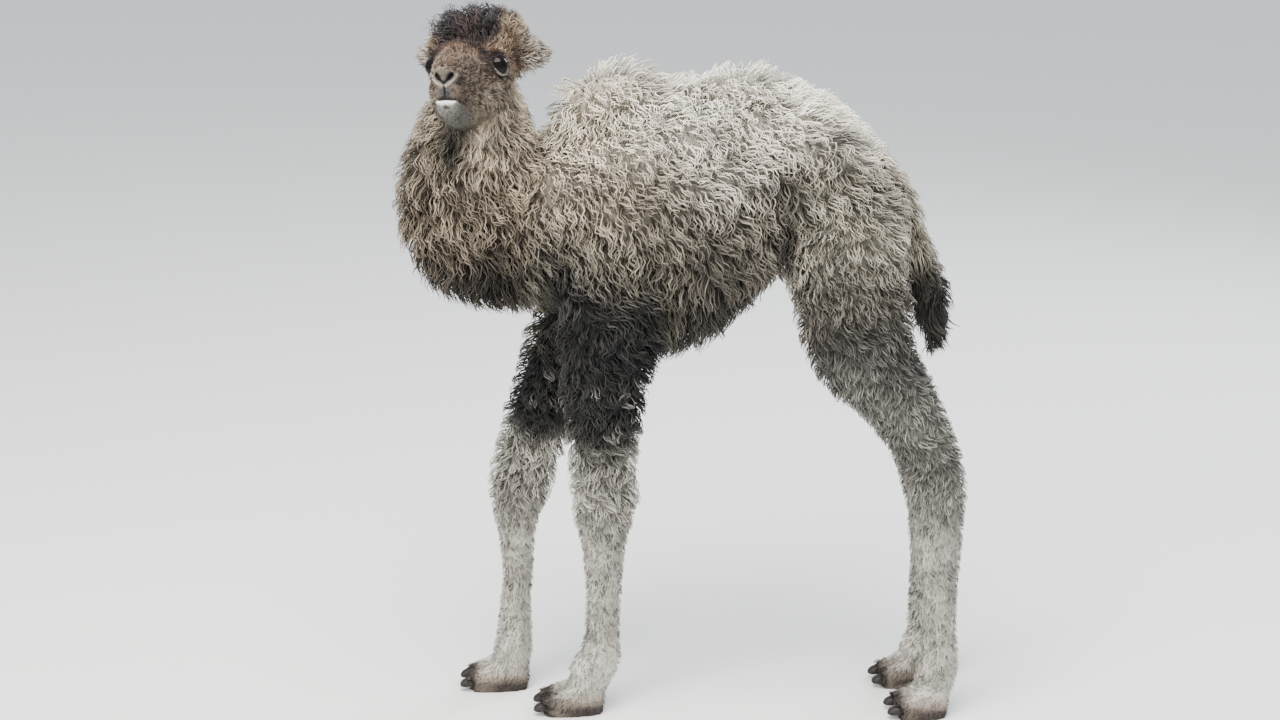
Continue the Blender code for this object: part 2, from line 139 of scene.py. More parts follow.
# Each stretch of coat: its depth, a lock's length and half width, how wide the lock waves, how
# steeply it stands, locks to the square metre, and which way they run.
DOWN = (0.10, 0.0, -1.0)
BACK_DOWN = (0.55, 0.0, -1.0)
COAT = {
    "trunk": (0.026, 0.040, 0.0019, 0.0050, 1.0, 20500, BACK_DOWN),
    "hump_front": (0.030, 0.036, 0.0017, 0.0050, 1.0, 28000, BACK_DOWN),
    "hump_rear": (0.030, 0.036, 0.0017, 0.0050, 1.0, 28000, BACK_DOWN),
    "neck_lower": (0.028, 0.042, 0.0018, 0.0050, 1.0, 24000, DOWN),
    "neck_upper": (0.020, 0.034, 0.0015, 0.0042, 1.0, 29000, DOWN),
    "tail": (0.012, 0.040, 0.0015, 0.0032, 1.2, 50000, (0.30, 0.0, -1.0)),
    "tail_tuft": (0.010, 0.048, 0.0016, 0.0030, 1.1, 62000, (0.10, 0.0, -1.0)),
    "foreleg_upper": (0.017, 0.027, 0.0017, 0.0046, 1.0, 28000, DOWN),
    "hindleg_upper": (0.015, 0.025, 0.0015, 0.0032, 1.0, 25500, (0.25, 0.0, -1.0)),
    "lower": (0.0055, 0.0115, 0.0010, 0.0010, 0.85, 46000, DOWN),
    "foot": (0.0040, 0.011, 0.0009, 0.0006, 1.0, 42000, (-0.8, 0.0, -1.0)),
    "head": (0.0040, 0.0098, 0.00085, 0.0007, 0.80, 215000, DOWN),
    "lower_jaw": (0.0035, 0.0080, 0.00065, 0.0005, 0.70, 240000, DOWN),
    "ear": (0.0034, 0.021, 0.0011, 0.0026, 1.4, 110000, DOWN),
    "eye": (0.0060, 0.010, 0.0009, 0.0006, 0.9, 0, DOWN),
}
DEPTH, LENGTH, DENSITY = 0, 1, 5
LOCK_SIZES = slice(0, 5)
LIE = slice(6, 9)


def coat_row(node):
    """The row of COAT for a node of the frame, as one flat list."""
    for key in (node, node.split("_")[0], "_".join(node.split("_")[1:]), node.split("_")[-1]):
        if key in COAT:
            row = COAT[key]
            return [*row[:6], *Vector(row[6]).normalized()]
    raise KeyError(node)


def read_all(items, field, width=3, kind=float):
    """One field of every item of a mesh as an array, a row for each."""
    found = np.empty(len(items) * width, dtype=kind)
    items.foreach_get(field, found)
    return found.reshape(-1, width)


def spots_of(mesh):
    """A mesh's vertex positions."""
    return read_all(mesh.vertices, "co")


def normals_of(mesh):
    """A mesh's vertex normals."""
    return read_all(mesh.vertex_normals, "vector")


def unit(vectors):
    """Vectors brought to a length of one."""
    return vectors / np.maximum(np.linalg.norm(vectors, axis=-1, keepdims=True), 1e-9)


def spread(mesh, values, passes):
    """Values on a mesh's vertices, evened out with their neighbours."""
    edges = read_all(mesh.edges, "vertices", 2, np.int64)
    one, other = edges.T
    size = len(mesh.vertices)
    share = 1 / np.maximum(np.bincount(edges.ravel(), minlength=size), 1)
    for _ in range(passes):
        total = np.stack([
            np.bincount(one, column[other], size) + np.bincount(other, column[one], size)
            for column in values.T], axis=1)
        values = 0.5 * values + 0.5 * total * share[:, None]
    return values


# Where the head is and how it is turned: ahead along the nose, to its left, and up through the crown.
FACE_TURN = math.radians(76)
FACE_LIFT = math.radians(22)
eye_spots = {side: (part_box("eye_" + side)[0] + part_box("eye_" + side)[1]) / 2 for side in ("left", "right")}
head_middle = Vector((eye_spots["left"] + eye_spots["right"]) / 2)
to_left = Vector(eye_spots["left"] - eye_spots["right"]).normalized()
level = Vector((-math.cos(FACE_TURN), -math.sin(FACE_TURN), 0))
ahead = level * math.cos(FACE_LIFT) + Vector((0, 0, math.sin(FACE_LIFT)))
ahead = (ahead - to_left * ahead.dot(to_left)).normalized()
head_axes = np.array([ahead, to_left, ahead.cross(to_left)])
head_matrix = Matrix.Translation(head_middle) @ Matrix(head_axes.T).to_4x4()


def in_head(spots):
    """Positions as (ahead, left, up) from the point between the eyes."""
    return (spots - np.array(head_middle)) @ head_axes.T


melt_shape = bmesh.new()
for name in skin_nodes:
    melt_shape.from_mesh(nodes[name].data)
flesh_tree = BVHTree.FromBMesh(melt_shape)
owners = [name for name in skin_nodes for _ in nodes[name].data.polygons]
bmesh.ops.remove_doubles(melt_shape, verts=melt_shape.verts, dist=1e-6)
flesh_object = put_in_scene("flesh", mesh_of("flesh", melt_shape))
melt = flesh_object.modifiers.new("melt", "REMESH")
melt.mode = "VOXEL"
melt.voxel_size = SKIN_VOXEL
soften = flesh_object.modifiers.new("soften", "SMOOTH")
soften.factor = 0.5
soften.iterations = 6
graph = bpy.context.evaluated_depsgraph_get()
skin = bpy.data.meshes.new_from_object(flesh_object.evaluated_get(graph))
bpy.data.objects.remove(flesh_object)

# The body needs fewer faces than the head. The face needs more, the muzzle and the nose the most:
# each row says from how far ahead, to what half width and down to what height.
FINE_FROM = ((-0.045, 0.12, -0.125), (0.095, 0.050, -0.110), (0.118, 0.027, -0.093))
thinned_object = put_in_scene("thinned", skin)
behind = np.where(in_head(spots_of(skin))[:, 0] < HEAD_BACK)[0]
thinned_object.vertex_groups.new(name="body").add(behind.tolist(), 1.0, "REPLACE")
thin = thinned_object.modifiers.new("thin", "DECIMATE")
thin.ratio = BODY_SHARE
thin.vertex_group = "body"
graph = bpy.context.evaluated_depsgraph_get()
skin = bpy.data.meshes.new_from_object(thinned_object.evaluated_get(graph))
bpy.data.objects.remove(thinned_object)
skin_shape = bmesh.new()
skin_shape.from_mesh(skin)
for start, half_width, lowest in FINE_FROM:
    skin_shape.verts.index_update()
    reach = in_head(np.array([vertex.co for vertex in skin_shape.verts]))
    near = (reach[:, 0] > start) & (np.abs(reach[:, 1]) < half_width) & (reach[:, 2] > lowest)
    coarse = [edge for edge in skin_shape.edges if all(near[vertex.index] for vertex in edge.verts)]
    bmesh.ops.subdivide_edges(skin_shape, cuts=1, use_grid_fill=True, edges=coarse)
    bmesh.ops.triangulate(skin_shape, faces=[face for face in skin_shape.faces if len(face.verts) > 4])
    reach = in_head(np.array([vertex.co for vertex in skin_shape.verts]))
    near = (reach[:, 0] > start - 0.006) & (reach[:, 2] > lowest - 0.006)
    fresh = [vertex for vertex, close in zip(skin_shape.verts, near) if close]
    for _ in range(2):
        bmesh.ops.smooth_vert(skin_shape, verts=fresh, factor=0.5, use_axis_x=True, use_axis_y=True,
                              use_axis_z=True)
skin_shape.to_mesh(skin)
skin_shape.free()

outer = spots_of(skin)
nearest = [owners[flesh_tree.find_nearest(Vector(spot))[2]] for spot in outer]
rows = {name: coat_row(name) for name in skin_nodes}
coat = np.array([rows[name] for name in nearest])


def blend_in(share, row):
    """Turns the coat towards another row of values where share is 1."""
    coat[:] = coat * (1 - share[:, None]) + np.array(row) * share[:, None]


def ramp(values, start, end):
    """0 up to start, 1 from end, smooth between."""
    t = np.clip((values - start) / (end - start), 0, 1)
    return t * t * (3 - 2 * t)


def share_of(*words):
    """1 on the vertices whose node has one of the words in its name, 0 elsewhere."""
    return np.array([any(word in name for word in words) for name in nearest], float)


# The head's own stretches, in head coordinates: woolly cheeks, nose and lips of the shortest down,
# and the crown of curls. The wool shortens from trunk to thigh to hock, and hangs under the belly.
on_head = share_of("head", "lower_jaw", "eye_")
on_face = in_head(outer)
along, side, above = on_face.T
CHEEK_COAT = (0.0090, 0.021, 0.0012, 0.0026, 1.0, 80000)
CROWN_COAT = (0.0250, 0.040, 0.0013, 0.0085, 1.15, 64000)
NOSE_COAT = (0.0016, 0.003, 0.0004, 0.0002, 0.50, 60000)
LIP_COAT = (0.0026, 0.005, 0.0006, 0.0003, 0.50, 190000)
BELLY_COAT = (0.0340, 0.046, 0.0015, 0.0040, 1.00, 28000, 0.20, 0.0, -1.0)
SHANK_COAT = (0.0100, 0.018, 0.0013, 0.0020, 1.05, 36000, 0.24, 0.0, -0.97)
THIGH_COAT = (0.0190, 0.027, 0.0015, 0.0034, 1.00, 29000, 0.25, 0.0, -1.0)
back_up = unit(-head_axes[0] + 0.35 * head_axes[2])
back_down = unit(-0.6 * head_axes[0] - 0.8 * head_axes[2])
off_crown = unit(np.stack([along + 0.045, side, np.zeros_like(side)], axis=1))
outward = unit(off_crown * 0.50 + np.array([-0.20, 0, 0.75])) @ head_axes
cheek = on_head * ramp(-along, -0.010, 0.035) * ramp(-above, -0.040, 0.010)
crown = on_head * ramp(above, 0.018, 0.048) * ramp(-along, -0.052, -0.014)
nose = on_head * (along > 0.09) * ramp(1 - (side / 0.021) ** 2 - ((above + 0.052) / 0.0155) ** 2, 0.0, 0.30)
lips = on_head * ramp(along, 0.090, 0.105) * ramp(-above, 0.062, 0.068)
coat[:, LIE] = np.where((on_head > 0)[:, None], back_up, coat[:, LIE])
blend_in(cheek, (*CHEEK_COAT, *back_down))
blend_in(lips, (*LIP_COAT, *back_down))
blend_in(nose, (*NOSE_COAT, *back_up))
for side_name in ("left", "right"):
    ear_way = Vector((-0.35, 0.85 if side_name == "left" else -0.85, 0.05)).normalized()
    row = coat_row("ear_" + side_name)
    blend_in(share_of("ear_" + side_name), (*row[:LIE.start], *(np.array(ear_way) @ head_axes)))
blend_in(crown, np.concatenate([np.tile(CROWN_COAT, (len(coat), 1)), outward], axis=1))
thigh_wool = share_of("trunk") * ramp(outer[:, 0], 0.135, 0.195) * ramp(-outer[:, 2], -0.97, -0.86)
blend_in(thigh_wool, THIGH_COAT)
blend_in(share_of("hindleg_upper") * ramp(-outer[:, 2], -0.70, -0.50), SHANK_COAT)
underside = share_of("trunk", "neck") * ramp(-normals_of(skin)[:, 2], 0.15, 0.65)
blend_in(underside * ramp(-outer[:, 2], -0.80, -0.72), BELLY_COAT)
coat = spread(skin, coat, FIELD_PASSES)


def move_skin(places):
    """Puts the skin's vertices at these places."""
    skin.vertices.foreach_set("co", places.ravel())
    skin.update()


# A longer tuft hangs at the navel, and the soles are bare.
NAVEL = (0.098, 0.062, 0.727)
navel = np.exp(-(np.linalg.norm(outer - NAVEL, axis=1) / 0.022) ** 4)
coat[:, LENGTH] *= 1 + 0.7 * navel
sole = share_of("foot") * ramp(-outer[:, 2], -0.012, -0.006)
coat[:, DEPTH] *= 1 - sole
for _ in range(INSET_STEPS):
    outwards = unit(spread(skin, normals_of(skin), 3))
    drawn_in = spots_of(skin) - outwards * coat[:, DEPTH:DEPTH + 1] / INSET_STEPS
    deep = ramp(coat[:, DEPTH], 0.005, 0.014)[:, None]
    drawn_in = spread(skin, drawn_in, 4) * deep + drawn_in * (1 - deep)
    drawn_in[:, 2] = np.where(sole > 0.9, drawn_in[:, 2] * 0.3, drawn_in[:, 2])
    move_skin(drawn_in)


def distance_to(path, spots):
    """Each position's distance to a bent line through the points of path, or to its one point."""
    best = np.full(len(spots), 9.0)
    for start, end in zip(np.array(path[:-1] or path), np.array(path[1:] or path)):
        run = end - start
        t = np.clip((spots - start) @ run / max(run @ run, 1e-12), 0, 1)
        best = np.minimum(best, np.linalg.norm(spots - start - t[:, None] * run, axis=1))
    return best


skin_tree = BVHTree.FromPolygons([vertex.co for vertex in skin.vertices],
                                 [polygon.vertices for polygon in skin.polygons])


def laid_on(points, way):
    """Points in head coordinates, each moved along way until it lies on the skin."""
    laid = []
    for point in points:
        start = head_matrix @ (Vector(point) - Vector(way) * 0.15)
        hit = skin_tree.ray_cast(start, head_matrix.to_3x3() @ Vector(way))[0]
        laid.append(in_head(np.array(hit)[None])[0])
    return laid


def press(paths, width, depth, back=1):
    """Presses a groove of that width and depth along lines in head coordinates, or lifts a ridge."""
    share = np.max([np.exp(-(distance_to(path, unpressed) / width) ** 2) for path in paths], axis=0)
    inwards = unit(0.6 * head_axes[0] + normals_of(skin))
    moved = spots_of(skin) - inwards * (share * depth * back)[:, None]
    move_skin(moved)


# The skin wraps the eyeballs down to the edge of the lids, under a soft brow. The opening is an
# almond: degrees from the eye's axis to the lids on four sides, and how round it is between them.
EYE_RADIUS = float(np.max(np.array(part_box("eye_left")[1]) - np.array(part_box("eye_left")[0]))) / 2
EYE_AXIS = (0.46, 0.88, 0.04)
LID_OPENING = {"front": 66, "back": 60, "top": 50, "bottom": 50}
LID_ROUNDNESS = 1.7
SOCKET_GAP = 0.0004
SOCKET_TUCK = 0.0075


def eye_frame(side):
    """The eye's own frame: its middle, its axis outwards, forwards along the face, and up."""
    turn = 1 if side == "left" else -1
    axis = unit(np.array([EYE_AXIS[0], turn * EYE_AXIS[1], EYE_AXIS[2]])) @ head_axes
    forward = unit(head_axes[0] - axis * (head_axes[0] @ axis))
    rise = np.cross(forward, axis) * turn
    return np.array(eye_spots[side]), axis, forward, rise


def opening(bearing):
    """Degrees from the eye's axis to the lid's edge, at a bearing from forwards towards up."""
    across = np.where(np.cos(bearing) > 0, LID_OPENING["front"], LID_OPENING["back"])
    upright = np.where(np.sin(bearing) > 0, LID_OPENING["top"], LID_OPENING["bottom"])
    level_part = (np.abs(np.cos(bearing)) / across) ** LID_ROUNDNESS
    upright_part = (np.abs(np.sin(bearing)) / upright) ** LID_ROUNDNESS
    return (level_part + upright_part) ** (-1 / LID_ROUNDNESS)


for side_name in ("left", "right"):
    middle, axis, forward, rise = eye_frame(side_name)
    offset = spots_of(skin) - middle
    reach = np.linalg.norm(offset, axis=1)
    polar = np.degrees(np.arccos(np.clip(offset @ axis / np.maximum(reach, 1e-6), -1, 1)))
    edge = opening(np.arctan2(offset @ rise, offset @ forward))
    past_edge = ramp(polar - edge, 3, 10)
    wrap = EYE_RADIUS + SOCKET_GAP - SOCKET_TUCK * ramp(polar, 66, 100)
    wrapped = np.where(past_edge > 0, np.maximum(reach, wrap), reach)
    wrapped = wrapped * past_edge + np.minimum(reach, EYE_RADIUS - 0.004) * (1 - past_edge)
    near = (reach < EYE_RADIUS * 1.6) & (polar < 100)
    moved = np.where(near[:, None], middle + offset * (wrapped / reach)[:, None], spots_of(skin))
    move_skin(moved)
    coat[near & (polar < edge + 9), DENSITY] = 0
    coat[near & (polar < edge + 30), LENGTH] *= 0.6

# Nostrils: a V of two slits, open at the outer top, in a soft pad with rims under them. Below are the
# split upper lip, the mouth line back along the cheeks, and the lower lip.
INWARD = (-1, 0, 0)


def both_sides(points, way=INWARD):
    """A line of points on the left half of the face and its mirror image, both laid on the skin."""
    mirrored = [(ahead_by, -left_by, up_by) for ahead_by, left_by, up_by in points]
    other_way = (way[0], -way[1], way[2])
    return [laid_on(points, way), laid_on(mirrored, other_way)]


SLIT = both_sides([(0, 0, -0.0605), (0, 0.0055, -0.0560), (0, 0.0105, -0.0505), (0, 0.0145, -0.0460)])
NOSTRIL = both_sides([(0, 0.0085, -0.0525), (0, 0.0125, -0.0480)])
RIM = both_sides([(0, 0.0020, -0.0645), (0, 0.0065, -0.0625), (0, 0.0135, -0.0570), (0, 0.0180, -0.0480)])
PAD = both_sides([(0, 0, -0.0395), (0, 0.0080, -0.0400), (0, 0.0150, -0.0430)])
MOUTH = both_sides([(0, 0, -0.0805), (0, 0.0100, -0.0810), (0, 0.0150, -0.0800)])
JOWL = both_sides([(0.105, 0, -0.0785), (0.085, 0, -0.0775), (0.065, 0, -0.0790), (0.045, 0, -0.0830)],
                  (0, -1, 0))
UPPER_LIP = both_sides([(0, 0.0050, -0.0720), (0, 0.0130, -0.0720)])
LOWER_LIP = both_sides([(0, 0, -0.0870), (0, 0.0070, -0.0862), (0, 0.0130, -0.0838)])
UNDER_LIP = both_sides([(0, 0, -0.0935), (0, 0.0080, -0.0925)])
LIP_DOT = [UNDER_LIP[0][:1]]
CLEFT = [laid_on([(0, 0, -0.0650), (0, 0, -0.0780)], INWARD)]
unpressed = in_head(spots_of(skin))
press(RIM, 0.0030, 0.0020, back=-1)
press(NOSTRIL, 0.0034, 0.0060)
press(SLIT, 0.0016, 0.0034)
press(PAD, 0.0045, 0.0014)
press(UPPER_LIP, 0.0060, 0.0020, back=-1)
press(LOWER_LIP, 0.0044, 0.0026, back=-1)
press(UNDER_LIP, 0.0040, 0.0014)
press(MOUTH, 0.0024, 0.0054)
press(JOWL, 0.0026, 0.0044)
press(CLEFT, 0.0016, 0.0028)

skin_object = put_in_scene("skin", skin)
bpy.context.view_layer.objects.active = skin_object
skin_object.select_set(True)
bpy.ops.object.mode_set(mode="EDIT")
bpy.ops.mesh.select_all(action="SELECT")
bpy.ops.uv.smart_project(angle_limit=math.radians(66), island_margin=0.002)
bpy.ops.object.mode_set(mode="OBJECT")
skin.shade_smooth()
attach(skin_object, "root")
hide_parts(*flesh_nodes)

# Markings -----------------------------------------------------------------------------------------
# One colour for each spot of the hide, which skin and coat both carry. Cream on back and humps,
# beige flanks, warm brown neck, near-black upper forelegs, grey shanks, pale lower legs.
CREAM = (1.00, 0.95, 0.82)
LIGHT_WOOL = (0.82, 0.76, 0.65)
BEIGE = (0.285, 0.250, 0.200)
LOW_GREY = (0.185, 0.164, 0.130)
BELLY_GREY = (0.060, 0.055, 0.046)
NECK_LIGHT = (0.70, 0.585, 0.440)
NECK_BROWN = (0.335, 0.269, 0.198)
NECK_FRONT = (0.130, 0.104, 0.074)
DARK_BROWN = (0.046, 0.039, 0.030)
FORELEG_DARK = (0.028, 0.027, 0.026)
THIGH = (0.41, 0.375, 0.300)
LOW_THIGH = (0.175, 0.160, 0.130)
SHANK_GREY = (0.070, 0.067, 0.061)
HOCK_GREY = (0.27, 0.260, 0.228)
PALE_LEG = (0.46, 0.44, 0.378)
FOOT_BROWN = (0.150, 0.108, 0.080)
FACE_BROWN = (0.160, 0.130, 0.099)
BROW_GOLD = (0.34, 0.235, 0.150)
FOREHEAD_RED = (0.155, 0.092, 0.062)
CROWN_DARK = (0.026, 0.024, 0.028)
CROWN_BROWN = (0.42, 0.315, 0.222)
EAR_PALE = (0.50, 0.44, 0.37)
FOREHEAD_DARK = (0.032, 0.019, 0.016)
# Painted shade in the nostrils and in the creases of the mouth, lip and jowls.
NOSTRIL_SHADE = (0.008, 0.007, 0.007)
MOUTH_CREASE_SHADE = (0.035, 0.028, 0.026)
SOLE_DARK = (0.034, 0.026, 0.022)
# Painted shade for the folds and the dip before the front hump.
FOLD_SHADE = (0.030, 0.027, 0.024)
MUZZLE_GREY = (0.066, 0.053, 0.041)
RIM_PALE = (0.22, 0.195, 0.172)
LIP_GREY = (0.062, 0.057, 0.057)
LIP_PALE = (0.72, 0.70, 0.68)
CHIN_GREY = (0.135, 0.130, 0.114)
TAIL_BROWN = (0.50, 0.445, 0.345)
# Darker throat hair, with painted shade under the jaw.
THROAT_HAIR_AND_JAW_SHADE = (0.055, 0.050, 0.038)
TUFT_DARK = (0.048, 0.044, 0.038)

# Painted shade in the folds before the thigh and behind the elbow on each side, and in the dip before the
# front hump.
FOLDS = (
    ((0.136, 0.083, 0.948), (0.140, 0.085, 0.919), (0.144, 0.078, 0.878), (0.149, 0.049, 0.808)),
    ((-0.075, 0.083, 0.809), (-0.062, 0.069, 0.753), (-0.049, 0.053, 0.708)),
)
HUMP_DIP = [(-0.196, 0.040, 1.095), (-0.181, 0.040, 1.105)]

# Bands of colour in head coordinates, the first five given on the left half of the face: the dark
# band from forehead to eye, the brow, the eye's inner corner and middle, and behind the jaw.
DARK_BAND = ((0.032, 0.008, 0.040), (0.042, 0.024, 0.018), (0.038, 0.038, 0.002))
BROW = ((0.006, 0.062, 0.024), (-0.030, 0.074, 0.050))
EYE_CORNER = ((0.030, 0.046, -0.010), (0.044, 0.042, -0.016))
EYE_MIDDLE = ((0.008, 0.0465, -0.001),)
JAW_ANGLE = ((-0.095, 0.056, 0.000), (-0.086, 0.055, -0.035))
BRIDGE = [(0.020, 0.006, 0.035), (0.050, 0.008, 0.015), (0.080, 0.008, -0.010)]
THROAT = [(0.075, 0, -0.128), (0.020, -0.005, -0.118), (-0.048, -0.028, -0.052), (-0.058, -0.034, -0.085),
          (-0.066, -0.040, -0.120)]


def mottle(spots, size, seed, waves=9):
    """Soft noise of about -1 to 1 whose patches are about that size across."""
    picks = np.random.default_rng(seed)
    total = np.zeros(len(spots))
    for _ in range(waves):
        way = unit(picks.normal(size=3)) * 2 * math.pi / (size * picks.uniform(1.2, 2.6))
        total += np.sin(spots @ way + picks.uniform(0, 2 * math.pi))
    return total / math.sqrt(waves / 2) / 1.6


spots = spots_of(skin)
ranges = spots + 0.03 * np.stack([mottle(spots, 0.09, seed) for seed in (1, 2, 3)], axis=1)
height = ranges[:, 2]
tint = np.tile(BEIGE, (len(spots), 1))


def tinge(share, colour):
    """Turns the hide's colour towards another where share is 1."""
    tint[:] = tint * (1 - share[:, None]) + np.array(colour) * share[:, None]


def below(start, end):
    """0 down to the height start, 1 from the height end down."""
    return ramp(-height, -start, -end)


def turned(path, turn):
    """A line of points as it is, or mirrored to the other side where turn is -1."""
    return [(x, turn * y, z) for x, y, z in path]


neck = share_of("neck")
foreleg = share_of("foreleg")
hindleg = share_of("hindleg")
trunk = share_of("trunk", "hump")
tinge(ramp(height, 0.89, 0.98), LIGHT_WOOL)
tinge(ramp(height, 0.96, 1.04), CREAM)
before_thigh = trunk * ramp(-ranges[:, 0], -0.185, -0.135)
thighs = hindleg + trunk - before_thigh
tinge(before_thigh * below(0.89, 0.81), LOW_GREY)
tinge(before_thigh * below(0.785, 0.71), BELLY_GREY)
tinge(thighs * below(0.95, 0.86), THIGH)
tinge(thighs * below(0.83, 0.74), LOW_THIGH)
# Painted shade along the folds and in the dip before the front hump.
for turn in (-1, 1):
    for fold in FOLDS:
        tinge(np.exp(-(distance_to(turned(fold, turn), outer) / 0.015) ** 4), FOLD_SHADE)
tinge(np.exp(-(distance_to(HUMP_DIP, outer) / 0.011) ** 2), FOLD_SHADE)
tinge(navel, TUFT_DARK)
tinge(neck, NECK_BROWN)
tinge(neck * ramp(height, 0.885, 0.965), NECK_LIGHT)
tinge(neck * ramp(-spots[:, 0], 0.37, 0.44) * 0.8, NECK_FRONT)
tinge(neck * below(0.86, 0.765), DARK_BROWN)
tinge(trunk * ramp(-spots[:, 0], 0.00, 0.18) * 0.6, NECK_LIGHT)
tinge(trunk * ramp(-spots[:, 0], 0.00, 0.12) * below(0.90, 0.79), LOW_GREY)
elbow = share_of("trunk", "neck_lower") * ramp(-spots[:, 0], 0.045, 0.075) * ramp(spots[:, 0], -0.250, -0.215)
forearm = foreleg + (1 - foreleg) * elbow
tinge(foreleg, LOW_GREY)
tinge(forearm * below(0.808, 0.768), FORELEG_DARK)
tinge(foreleg * below(0.52, 0.435), PALE_LEG)
tinge(hindleg * below(0.735, 0.65), SHANK_GREY)
tinge(hindleg * below(0.69, 0.56), HOCK_GREY)
tinge(hindleg * below(0.43, 0.27), PALE_LEG)
shin = share_of("_lower", "foot") * (1 - neck) * below(0.42, 0.34)
tinge(shin * ramp(mottle(spots * (2.5, 2.5, 1), 0.020, 35), 0.75, 1.1) * 0.75, SHANK_GREY)
tinge(share_of("foot") * ramp(-spots[:, 2], -0.050, -0.022) * 0.85, FOOT_BROWN)
for foot in [name for name in nodes if name.endswith("_foot")]:
    foot_low, foot_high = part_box(foot)
    from_toe = (spots[:, 0] - foot_low[0]) / (foot_high[0] - foot_low[0])
    tinge(share_of(foot) * ramp(-from_toe, -0.26, -0.14), SOLE_DARK)
    tinge(share_of(foot) * ramp(-spots[:, 2], -0.026, -0.012) * ramp(from_toe, 0.1, 0.5), SOLE_DARK)
tinge(share_of("tail"), TAIL_BROWN)
tinge(share_of("tail") * ramp(-spots[:, 2], -0.82, -0.765), TUFT_DARK)
tinge(on_head, FACE_BROWN)
tinge(on_head * ramp(-above, 0.030, 0.060) * ramp(-along, -0.08, -0.02) * 0.2, NECK_LIGHT)
tinge(on_head * ramp(above, -0.002, 0.022) * ramp(-along, -0.090, -0.060), FOREHEAD_RED)
tinge(on_head * ramp(along, 0.040, 0.090) * 0.30, FOREHEAD_RED)
tinge(on_head * ramp(mottle(spots, 0.010, 33), 0.1, 0.9) * 0.5, FOREHEAD_RED)
tinge(crown, CROWN_BROWN)
ragged = side + 0.008 * mottle(spots, 0.016, 36)
tinge(ramp(crown, 0.05, 0.55) * ramp(ragged, -0.085, -0.060) * ramp(-ragged, -0.070, -0.046)
      * ramp(along, -0.095, -0.055), CROWN_DARK)
tint = spread(skin, tint, 2)


def line_share(paths, width):
    """1 along lines in head coordinates, fading to 0 over that width."""
    return np.max([np.exp(-(distance_to(path, unpressed) / width) ** 4) for path in paths], axis=0)


tinge(on_head * np.exp(-(distance_to(BRIDGE, on_face) / 0.020) ** 4) * 0.45, FOREHEAD_RED)
for turn in (-1, 1):
    band, brow, corner, eye_gap = (
        distance_to(turned(path, turn), on_face) for path in (DARK_BAND, BROW, EYE_CORNER, EYE_MIDDLE))
    tinge(on_head * np.exp(-(brow / 0.016) ** 2), BROW_GOLD)
    tinge(on_head * (1 - crown) * ramp(-band, -0.060, -0.020) * 0.6, FOREHEAD_RED)
    tinge(on_head * ramp(-band + 0.006 * mottle(spots, 0.012, 34), -0.024, -0.009), FOREHEAD_DARK)
    tinge(on_head * np.exp(-(corner / 0.007) ** 2) * 0.9, FOREHEAD_DARK)
    tinge(on_head * ramp(-eye_gap, -0.026, -0.021) * 0.9, FOREHEAD_DARK)
tinge(crown * ramp(mottle(spots, 0.012, 32), 0.2, 0.8) * 0.6, CROWN_DARK)
tinge(on_head * ramp(-above, 0.066, 0.069) * ramp(along, 0.09, 0.10) * ramp(-abs(side), -0.016, -0.008),
      LIP_GREY)
# Dark throat hair under the chin and down the throat, with painted shade under the jaw where it meets the
# neck.
tinge(np.exp(-(distance_to(THROAT, on_face) / 0.030) ** 4), THROAT_HAIR_AND_JAW_SHADE)
for turn in (-1, 1):
    jaw_angle = distance_to(turned(JAW_ANGLE, turn), on_face)
    tinge(np.exp(-(jaw_angle / 0.030) ** 4) * 0.6, FACE_BROWN)
tinge(nose, MUZZLE_GREY)
tinge(on_head * ramp(-above, 0.083, 0.088) * ramp(along, 0.020, 0.050) * ramp(-above, -0.122, -0.112),
      CHIN_GREY)
tinge(line_share(RIM, 0.0021), RIM_PALE)
tinge(line_share(LOWER_LIP, 0.0056 * np.sqrt(np.clip(1 - (side / 0.017) ** 2, 0.04, 1))), LIP_PALE)
# Painted shade: dark under the lower lip, near-black in the nostril slits and openings, dark along the mouth
# line, the jowls and the lip's cleft.
tinge(line_share(LIP_DOT, 0.0042), MOUTH_CREASE_SHADE)
tinge(line_share(SLIT, 0.0016), NOSTRIL_SHADE)
tinge(line_share(NOSTRIL, 0.0036), NOSTRIL_SHADE)
tinge(line_share(MOUTH, 0.0022), MOUTH_CREASE_SHADE)
tinge(line_share(JOWL, 0.0030) * 0.9, MOUTH_CREASE_SHADE)
tinge(line_share(CLEFT, 0.0014) * 0.7, MOUTH_CREASE_SHADE)
ear = share_of("ear_")
facing = normals_of(skin) @ head_axes[0]
tinge(ear, CROWN_BROWN)
tinge(ear * ramp(facing, 0.00, 0.35), EAR_PALE)
tinge(ear * ramp(mottle(spots, 0.009, 31), 0.1, 0.5) * 0.9, CROWN_DARK)
tint *= (1 + 0.16 * mottle(spots, 0.05, 11) + 0.10 * mottle(spots, 0.016, 12))[:, None]

# Under deep wool the hide is painted darker than the wool itself, as painted shade under the coat.
HIDE_SHADE_UNDER_COAT = 0.62
covered = ramp(coat[:, DEPTH], 0.0030, 0.0090)


def store_tone(mesh, colours):
    """Stores a colour for each vertex of a mesh as its tone."""
    shown = np.ones((len(mesh.vertices), 4))
    shown[:, :3] = np.array(colours).reshape(-1, 3)
    mesh.attributes.new("tone", "FLOAT_COLOR", "POINT").data.foreach_set("color", shown.ravel())


store_tone(skin, np.clip(tint * (1 - HIDE_SHADE_UNDER_COAT * covered)[:, None], 0, 1))

